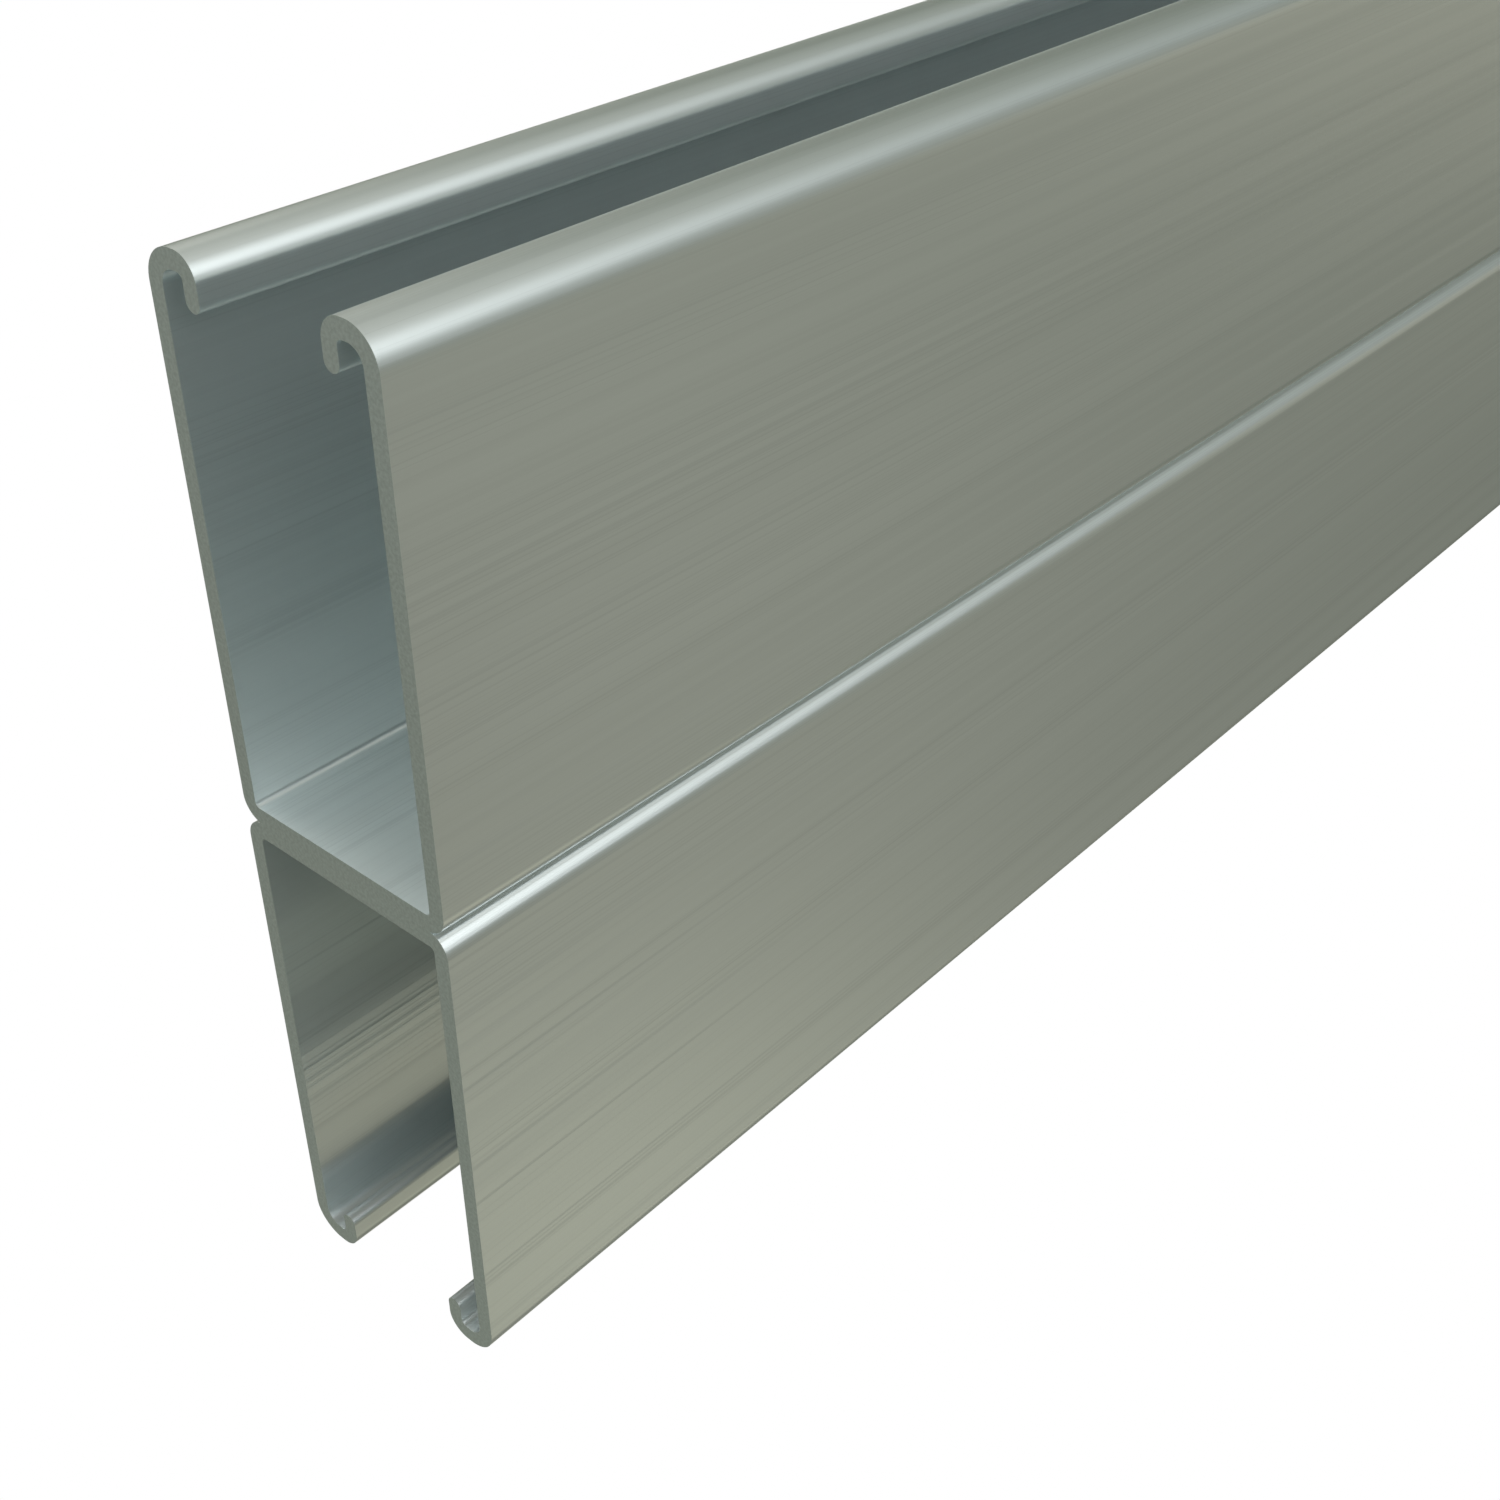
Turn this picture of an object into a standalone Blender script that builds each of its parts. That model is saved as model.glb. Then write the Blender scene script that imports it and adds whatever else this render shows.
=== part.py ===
"""Back-to-back strut channel: two deep roll-formed steel channels joined web to web.

Metres, +Z up. The length runs along X and the open mouths face up and down.
The origin is on the floor below the middle of the length.
"""

import math

import bpy
from mathutils import Vector

# Driving sizes of the stock
LENGTH = 3.048
WIDTH = 0.041275
DEPTH = 0.08255
WALL = 0.002667
MOUTH = 0.022225
LIP_DEPTH = 0.007144

# Inside radii of the bends that the rolls leave
WEB_BEND = 0.0008
SHOULDER_BEND = 0.0025
LIP_BEND = 0.0009

# Joint between the two webs
WEB_GAP = 0.0003

# How far a facet of an arc may stand off the true curve
ARC_TOLERANCE = 0.000005

# Part of the flat between two bends that the bends may take up
BEND_SHARE = 0.96

STEEL_COLOUR = (0.42, 0.44, 0.40, 1.0)
STEEL_ROUGHNESS = 0.42


def clear_scene():
    for old in list(bpy.data.objects):
        bpy.data.objects.remove(old, do_unlink=True)


def steel(name):
    """Plain brushed sheet steel with a pre-galvanised finish."""
    material = bpy.data.materials.new(name)
    material.use_nodes = True
    shader = material.node_tree.nodes["Principled BSDF"]
    shader.inputs["Base Color"].default_value = STEEL_COLOUR
    shader.inputs["Metallic"].default_value = 1.0
    shader.inputs["Roughness"].default_value = STEEL_ROUGHNESS
    return material


def fillet(before, corner, after, radius):
    """Points of the arc that rounds one corner, from the side before it to the side after it."""
    to_before = (before - corner).normalized()
    to_after = (after - corner).normalized()
    half_angle = to_before.angle(to_after) / 2
    start = corner + to_before * (radius / math.tan(half_angle))
    centre = corner + (to_before + to_after).normalized() * (radius / math.sin(half_angle))
    sweep = math.pi - 2 * half_angle
    turn = math.copysign(sweep, (corner - before).cross(after - corner))
    steps = math.ceil(sweep / (2 * math.acos(1 - ARC_TOLERANCE / radius)))
    spoke = start - centre
    points = []
    for step in range(steps + 1):
        angle = turn * step / steps
        cosine = math.cos(angle)
        sine = math.sin(angle)
        points.append(centre + Vector((spoke.x * cosine - spoke.y * sine, spoke.x * sine + spoke.y * cosine)))
    return points


def half_section():
    """Corners and radii of the right half, round the outside of the strip and back along its inside."""
    side = WIDTH / 2
    slot = MOUTH / 2
    tip = DEPTH - LIP_DEPTH
    room = (side - slot - 2 * WALL) * BEND_SHARE
    fit = min(1.0, room / (SHOULDER_BEND + LIP_BEND))
    shoulder = SHOULDER_BEND * fit
    lip = LIP_BEND * fit
    hem = WALL / 2
    return [
        (side, 0.0, WEB_BEND + WALL),
        (side, DEPTH, shoulder + WALL),
        (slot, DEPTH, lip + WALL),
        (slot, tip, hem),
        (slot + WALL, tip, hem),
        (slot + WALL, DEPTH - WALL, lip),
        (side - WALL, DEPTH - WALL, shoulder),
        (side - WALL, WALL, WEB_BEND),
    ]


def section_outline():
    """Closed outline of one channel, its web on the X axis and its mouth at +Y."""
    right = half_section()
    left = [(-x, y, radius) for x, y, radius in reversed(right)]
    loop = right + left
    outline = []
    for place, (x, y, radius) in enumerate(loop):
        before = Vector(loop[place - 1][:2])
        after = Vector(loop[(place + 1) % len(loop)][:2])
        arc = fillet(before, Vector((x, y)), after, radius)
        if outline and (outline[-1] - arc[0]).length < ARC_TOLERANCE:
            arc = arc[1:]
        outline.extend(arc)
    return outline


def channel(name, collection, parent):
    """One length of channel: the section as a filled 2D curve, extruded both ways."""
    curve = bpy.data.curves.new(name, "CURVE")
    curve.dimensions = "2D"
    curve.fill_mode = "BOTH"
    curve.extrude = LENGTH / 2
    outline = section_outline()
    spline = curve.splines.new("POLY")
    spline.points.add(len(outline) - 1)
    for point, place in zip(spline.points, outline):
        point.co = (place.x, place.y, 0.0, 1.0)
    spline.use_cyclic_u = True
    spline.use_smooth = True
    curve.materials.append(steel(name + "_steel"))
    piece = bpy.data.objects.new(name, curve)
    piece.parent = parent
    collection.objects.link(piece)
    return piece


def build():
    clear_scene()
    collection = bpy.data.collections.new("back_to_back_strut_channel")
    bpy.context.scene.collection.children.link(collection)
    stock = bpy.data.objects.new("stock", None)
    collection.objects.link(stock)

    # The outline's X goes across, its Y up or down, and its extrusion along the length
    quarter = math.pi / 2
    upper = channel("upper_channel", collection, stock)
    upper.rotation_euler = (quarter, 0.0, quarter)
    upper.location.z = DEPTH + WEB_GAP
    lower = channel("lower_channel", collection, stock)
    lower.rotation_euler = (-quarter, 0.0, -quarter)
    lower.location.z = DEPTH


build()
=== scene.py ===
"""Looks of the back-to-back strut channel: brushed, pre-galvanised steel with plain sawn ends."""

import math
from collections import namedtuple

import bmesh
import bpy
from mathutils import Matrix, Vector


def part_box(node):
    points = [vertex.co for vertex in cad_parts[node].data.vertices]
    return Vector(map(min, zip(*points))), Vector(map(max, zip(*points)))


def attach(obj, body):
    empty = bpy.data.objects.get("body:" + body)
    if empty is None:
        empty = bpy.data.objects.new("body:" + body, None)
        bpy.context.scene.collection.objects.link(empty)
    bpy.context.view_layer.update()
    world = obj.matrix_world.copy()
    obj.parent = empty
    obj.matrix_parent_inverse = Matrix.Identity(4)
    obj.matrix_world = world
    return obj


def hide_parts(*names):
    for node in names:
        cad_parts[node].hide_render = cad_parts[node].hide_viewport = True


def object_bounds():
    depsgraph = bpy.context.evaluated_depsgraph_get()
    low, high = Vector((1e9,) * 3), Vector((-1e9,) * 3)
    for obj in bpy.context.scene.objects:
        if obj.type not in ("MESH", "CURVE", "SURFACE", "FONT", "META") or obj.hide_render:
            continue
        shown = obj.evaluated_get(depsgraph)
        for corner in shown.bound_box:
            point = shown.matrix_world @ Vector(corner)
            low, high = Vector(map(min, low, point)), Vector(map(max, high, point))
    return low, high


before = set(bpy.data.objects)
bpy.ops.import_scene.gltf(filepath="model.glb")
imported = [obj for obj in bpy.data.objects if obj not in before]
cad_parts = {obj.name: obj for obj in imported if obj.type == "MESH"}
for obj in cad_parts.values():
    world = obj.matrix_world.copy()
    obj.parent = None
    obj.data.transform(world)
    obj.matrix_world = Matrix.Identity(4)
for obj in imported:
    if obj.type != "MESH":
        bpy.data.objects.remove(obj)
cad_low, cad_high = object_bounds()

# The pieces, each named for the CAD node that it stands for
UPPER = "upper_channel"
LOWER = "lower_channel"

# Directions: the part's length lies along X, with the near end at its low side
ALONG = (1.0, 0.0, 0.0)
UP = (0.0, 0.0, 1.0)

BLACK = (0.0, 0.0, 0.0, 1.0)
WHITE = (1.0, 1.0, 1.0, 1.0)

# Camera, in metres from the near sawn end, the middle of the width and the joint of the webs, with its lens
# and sensor in millimetres
CAMERA_BEFORE_END = 0.11789
CAMERA_TO_RIGHT = 0.17557
CAMERA_ABOVE_WEBS = 0.16276
CAMERA_YAW = math.radians(48.740)
CAMERA_PITCH = math.radians(34.866)
CAMERA_LENS = 47.054
CAMERA_SENSOR = 36.0
CAMERA_CLIP_START = 0.01

# Mesh: points closer than this are one, facets that meet flatter than the flat angle are one face, and
# those that meet at a sharper angle than the edge angle are a true edge
MERGE_DISTANCE = 0.000001
FLAT_ANGLE = math.radians(0.5)
EDGE_ANGLE = math.radians(35)

# A face is a sawn end where its normal lies along the length by more than this share
END_FACE_NORMAL = 0.9

# How often light may be mirrored between the walls of a channel
MIRRORINGS = 12

# Soft noise: its middle, and the values that count as fully low and fully high
NOISE_MIDDLE = 0.5
NOISE_LOW = 0.35
NOISE_HIGH = 0.65

# Zinc-coated sheet, brushed along its length
METAL_SHARE = 0.9
SHEET_LIGHT = (0.765, 0.82, 0.825, 1.0)
SHEET_DARK = (0.675, 0.725, 0.73, 1.0)
SHEET_ROUGHNESS = 0.285
SHEET_ROUGHNESS_SPREAD = 0.008
SHEET_BRUSHING = 0.8

# Marks along the sheet: soft lines, thin dark hairs, and bands where the hairs are weak or strong. Cells are
# length, width and width in metres. Slopes say how far a mark tips the surface, and tones how far it goes
# between dark and light, around the plain tone. The rolls mark level faces more than upright ones.
LINE_CELL = (2.0, 0.0018, 0.0018)
LINE_SLOPE = 0.08
LINE_TONE = 0.6
HAIR_CELL = (2.4, 0.0009, 0.0009)
HAIR_WIDTH = 0.06
HAIR_SLOPE = 0.05
HAIR_TONE = 0.6
MARK_DETAIL = 1.0
BAND_CELL = (3.0, 0.005, 0.005)
BAND_DETAIL = 0.0
WEAK_BAND = 0.2
ROLL_MARKS = 0.5
PLAIN_TONE = 0.65

# Sawn ends: bare steel with a fine, even mottle
CUT_LIGHT = (0.58, 0.65, 0.64, 1.0)
CUT_DARK = (0.485, 0.55, 0.54, 1.0)
CUT_ROUGHNESS = 0.45
CUT_CELL = (0.0005, 0.0005, 0.0005)
CUT_DETAIL = 3.0
CUT_RELIEF = 0.00001

# Soft lights of the studio, each a round glow in the sky around the part, with its angles in degrees:
# azimuth round from +X, elevation up from level, and width out to where it has faded to about 0.6
Glow = namedtuple("Glow", "name azimuth elevation width colour")
GLOWS = (
    Glow("right softbox", 266, 33, 18, (3.3, 3.35, 3.4)),
    Glow("left softbox", 94, 35, 12, (3.83, 3.64, 3.44)),
    Glow("wide light from below", 71, -57, 34, (0.37, 0.37, 0.30)),
    Glow("low back fill", 160, -58, 7, (0.48, 0.60, 0.45)),
    Glow("low front fill", 313, -52, 8, (0.53, 0.51, 0.39)),
    Glow("near front fill", 310, -26, 14, (0.33, 0.31, 0.26)),
    Glow("far front fill", 336, -7, 7, (0.56, 0.50, 0.40)),
)

# Broad diffuser, high up past the near end. Its light starts where the cosine of the angle to its middle is
# DIFFUSER_START, and rises softly over DIFFUSER_SPAN.
DIFFUSER_AZIMUTH = 185
DIFFUSER_ELEVATION = 55
DIFFUSER_START = -0.25
DIFFUSER_SPAN = 1.71
DIFFUSER_COLOUR = (1.37, 1.29, 1.27)

# Faint light of the whole sky at its zenith, which falls evenly to nothing straight below
ZENITH = (0.03, 0.07, 0.02)

# Floor, whose glow shows as white
FLOOR_SIZE = 40.0
FLOOR_GLOW = 1.0


def link(tree, source, socket):
    """Joins a node's output to a socket, or sets the socket when the source is a plain value."""
    if isinstance(source, bpy.types.NodeSocket):
        tree.links.new(source, socket)
    else:
        socket.default_value = source


def scalar(tree, operation, first, second=0.0, third=0.0):
    """One step of arithmetic on numbers."""
    node = tree.nodes.new("ShaderNodeMath")
    node.operation = operation
    for socket, source in zip(node.inputs, (first, second, third)):
        link(tree, source, socket)
    return node.outputs["Value"]


def vector(tree, operation, first, second=(0.0, 0.0, 0.0)):
    """One step of arithmetic on vectors, which gives a number for a dot product."""
    node = tree.nodes.new("ShaderNodeVectorMath")
    node.operation = operation
    link(tree, first, node.inputs[0])
    link(tree, second, node.inputs[1])
    return node.outputs["Value" if operation == "DOT_PRODUCT" else "Vector"]


def scaled(tree, source, factor):
    """A vector times a number."""
    node = tree.nodes.new("ShaderNodeVectorMath")
    node.operation = "SCALE"
    link(tree, source, node.inputs[0])
    link(tree, factor, node.inputs["Scale"])
    return node.outputs["Vector"]


def noise(tree, place, cell, detail):
    """Soft noise whose cells measure cell (x, y, z) metres."""
    shrunk = vector(tree, "DIVIDE", place, cell)
    node = tree.nodes.new("ShaderNodeTexNoise")
    node.inputs["Scale"].default_value = 1.0
    node.inputs["Detail"].default_value = detail
    link(tree, shrunk, node.inputs["Vector"])
    return node.outputs["Fac"]


def ramp(tree, source, low, high, first, last):
    """Maps low..high of the source onto first..last, held at its ends."""
    node = tree.nodes.new("ShaderNodeMapRange")
    link(tree, source, node.inputs["Value"])
    for name, value in (("From Min", low), ("From Max", high), ("To Min", first), ("To Max", last)):
        node.inputs[name].default_value = value
    return node.outputs["Result"]


def blend(tree, factor, first, second):
    """The first colour where the factor is 0, and the second where it is 1."""
    node = tree.nodes.new("ShaderNodeMix")
    node.data_type = "RGBA"
    link(tree, factor, node.inputs["Factor"])
    link(tree, first, node.inputs["A"])
    link(tree, second, node.inputs["B"])
    return node.outputs["Result"]


def steel(name):
    """A metal material, with its node tree, its shader and the place on the part in metres."""
    material = bpy.data.materials.new(name)
    material.use_nodes = True
    tree = material.node_tree
    shader = tree.nodes["Principled BSDF"]
    shader.inputs["Metallic"].default_value = METAL_SHARE
    place = tree.nodes.new("ShaderNodeTexCoord").outputs["Object"]
    return material, tree, shader, place


def rolling_marks(tree, place, normal):
    """Soft lines that run either side of 0, and hairs that rise from 0, stronger where the rolls press."""
    lines = scalar(tree, "SUBTRACT", noise(tree, place, LINE_CELL, MARK_DETAIL), NOISE_MIDDLE)
    strands = scalar(tree, "SUBTRACT", noise(tree, place, HAIR_CELL, MARK_DETAIL), NOISE_MIDDLE)
    hairs = ramp(tree, scalar(tree, "ABSOLUTE", strands), 0.0, HAIR_WIDTH, 1.0, 0.0)
    bands = ramp(tree, noise(tree, place, BAND_CELL, BAND_DETAIL), NOISE_LOW, NOISE_HIGH, WEAK_BAND, 1.0)
    level = scalar(tree, "ABSOLUTE", vector(tree, "DOT_PRODUCT", normal, UP))
    pressed = scalar(tree, "MULTIPLY_ADD", level, ROLL_MARKS, 1.0)
    return lines, scalar(tree, "MULTIPLY", hairs, scalar(tree, "MULTIPLY", bands, pressed))


def brushed_steel():
    """Sheet whose lines and hairs tip the surface across the length, and change its tone and gloss."""
    material, tree, shader, place = steel("brushed_steel")
    normal = tree.nodes.new("ShaderNodeNewGeometry").outputs["Normal"]
    lines, hairs = rolling_marks(tree, place, normal)

    across = vector(tree, "CROSS_PRODUCT", normal, ALONG)
    tilt = scalar(tree, "MULTIPLY_ADD", hairs, HAIR_SLOPE, scalar(tree, "MULTIPLY", lines, LINE_SLOPE))
    tipped = vector(tree, "ADD", normal, scaled(tree, across, tilt))
    link(tree, vector(tree, "NORMALIZE", tipped), shader.inputs["Normal"])

    tone = scalar(tree, "MULTIPLY_ADD", lines, LINE_TONE, PLAIN_TONE)
    tone = scalar(tree, "MULTIPLY_ADD", hairs, -HAIR_TONE, tone)
    link(tree, blend(tree, tone, SHEET_DARK, SHEET_LIGHT), shader.inputs["Base Color"])

    dull = SHEET_ROUGHNESS + SHEET_ROUGHNESS_SPREAD
    bright = SHEET_ROUGHNESS - SHEET_ROUGHNESS_SPREAD
    link(tree, ramp(tree, tone, 0.0, 1.0, dull, bright), shader.inputs["Roughness"])
    shader.inputs["Anisotropic"].default_value = SHEET_BRUSHING
    link(tree, vector(tree, "CROSS_PRODUCT", across, normal), shader.inputs["Tangent"])
    return material


def sawn_steel():
    """Bare cut face with a fine, even mottle."""
    material, tree, shader, place = steel("sawn_steel")
    mottle = noise(tree, place, CUT_CELL, CUT_DETAIL)
    tone = ramp(tree, mottle, NOISE_LOW, NOISE_HIGH, 0.0, 1.0)
    link(tree, blend(tree, tone, CUT_DARK, CUT_LIGHT), shader.inputs["Base Color"])
    shader.inputs["Roughness"].default_value = CUT_ROUGHNESS
    bump = tree.nodes.new("ShaderNodeBump")
    bump.inputs["Distance"].default_value = CUT_RELIEF
    link(tree, mottle, bump.inputs["Height"])
    link(tree, bump.outputs["Normal"], shader.inputs["Normal"])
    return material


def channel(node, drop, sheet, cut):
    """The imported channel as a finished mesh, lowered by drop, with its ends in their own material."""
    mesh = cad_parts[node].data.copy()
    mesh.name = "steel_" + node
    mesh.materials.clear()
    mesh.materials.append(sheet)
    mesh.materials.append(cut)

    shape = bmesh.new()
    shape.from_mesh(mesh)
    bmesh.ops.remove_doubles(shape, verts=shape.verts, dist=MERGE_DISTANCE)
    bmesh.ops.dissolve_limit(shape, angle_limit=FLAT_ANGLE, verts=shape.verts, edges=shape.edges)
    bmesh.ops.translate(shape, verts=shape.verts, vec=(0.0, 0.0, -drop))
    for face in shape.faces:
        face.smooth = True
        face.material_index = int(abs(face.normal.x) > END_FACE_NORMAL)
    shape.to_mesh(mesh)
    shape.free()

    piece = bpy.data.objects.new("steel_" + node, mesh)
    bpy.context.scene.collection.objects.link(piece)
    mesh.set_sharp_from_angle(angle=EDGE_ANGLE)
    weighted = piece.modifiers.new("flat walls stay flat", "WEIGHTED_NORMAL")
    weighted.keep_sharp = True
    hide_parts(node)
    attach(piece, "root")


def camera(near_end, joint):
    """The photo's camera, placed from the near end and the height of the joint between the webs."""
    data = bpy.data.cameras.new("camera")
    data.lens = CAMERA_LENS
    data.sensor_width = CAMERA_SENSOR
    data.clip_start = CAMERA_CLIP_START
    seat = bpy.data.objects.new("camera", data)
    seat.location = (near_end - CAMERA_BEFORE_END, -CAMERA_TO_RIGHT, joint + CAMERA_ABOVE_WEBS)
    seat.rotation_euler = (math.pi / 2 - CAMERA_PITCH, 0.0, -CAMERA_YAW)
    bpy.context.scene.collection.objects.link(seat)
    bpy.context.scene.camera = seat


def floor(level):
    """White floor with no shadow. The steel doesn't mirror it, so that light from below reaches the part."""
    bpy.ops.mesh.primitive_plane_add(size=FLOOR_SIZE, location=(0.0, 0.0, level))
    ground = bpy.context.object
    ground.name = "floor"
    material = bpy.data.materials.new("floor")
    material.use_nodes = True
    shader = material.node_tree.nodes["Principled BSDF"]
    shader.inputs["Base Color"].default_value = BLACK
    shader.inputs["Roughness"].default_value = 1.0
    shader.inputs["Specular IOR Level"].default_value = 0.0
    shader.inputs["Emission Color"].default_value = WHITE
    shader.inputs["Emission Strength"].default_value = FLOOR_GLOW
    ground.data.materials.append(material)
    ground.visible_glossy = False
    ground.visible_diffuse = False
    ground.visible_shadow = False


def toward(azimuth, elevation):
    """Unit vector that points at a light, from degrees round from +X and up from level."""
    turn = math.radians(azimuth)
    rise = math.radians(elevation)
    return Vector((math.cos(rise) * math.cos(turn), math.cos(rise) * math.sin(turn), math.sin(rise)))


def studio():
    """Soft lights in the sky round the part, which the camera itself sees as plain white."""
    sky = bpy.data.worlds.new("studio")
    sky.use_nodes = True
    tree = sky.node_tree
    direction = tree.nodes.new("ShaderNodeTexCoord").outputs["Generated"]

    height = vector(tree, "DOT_PRODUCT", direction, UP)
    light = scaled(tree, ZENITH, ramp(tree, height, -1.0, 1.0, 0.0, 1.0))

    facing = vector(tree, "DOT_PRODUCT", direction, toward(DIFFUSER_AZIMUTH, DIFFUSER_ELEVATION))
    rise = ramp(tree, facing, DIFFUSER_START, DIFFUSER_START + DIFFUSER_SPAN, 0.0, 1.0)
    rise.node.interpolation_type = "SMOOTHSTEP"
    light = vector(tree, "ADD", light, scaled(tree, DIFFUSER_COLOUR, rise))

    for glow in GLOWS:
        facing = vector(tree, "DOT_PRODUCT", direction, toward(glow.azimuth, glow.elevation))
        facing.node.label = glow.name
        off_axis = scalar(tree, "SUBTRACT", facing, 1.0)
        fall = scalar(tree, "DIVIDE", off_axis, math.radians(glow.width) ** 2)
        light = vector(tree, "ADD", light, scaled(tree, glow.colour, scalar(tree, "EXPONENT", fall)))

    seen = tree.nodes.new("ShaderNodeLightPath").outputs["Is Camera Ray"]
    link(tree, blend(tree, seen, light, WHITE), tree.nodes["Background"].inputs["Color"])
    bpy.context.scene.world = sky


upper_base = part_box(UPPER)[0].z
web_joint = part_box(LOWER)[1].z

sheet = brushed_steel()
cut = sawn_steel()
channel(UPPER, upper_base - web_joint, sheet, cut)
channel(LOWER, 0.0, sheet, cut)
camera(cad_low.x, web_joint)
floor(cad_low.z)
studio()
bpy.context.scene.view_settings.view_transform = "Standard"
bpy.context.scene.cycles.glossy_bounces = MIRRORINGS
bpy.context.scene.cycles.max_bounces = MIRRORINGS
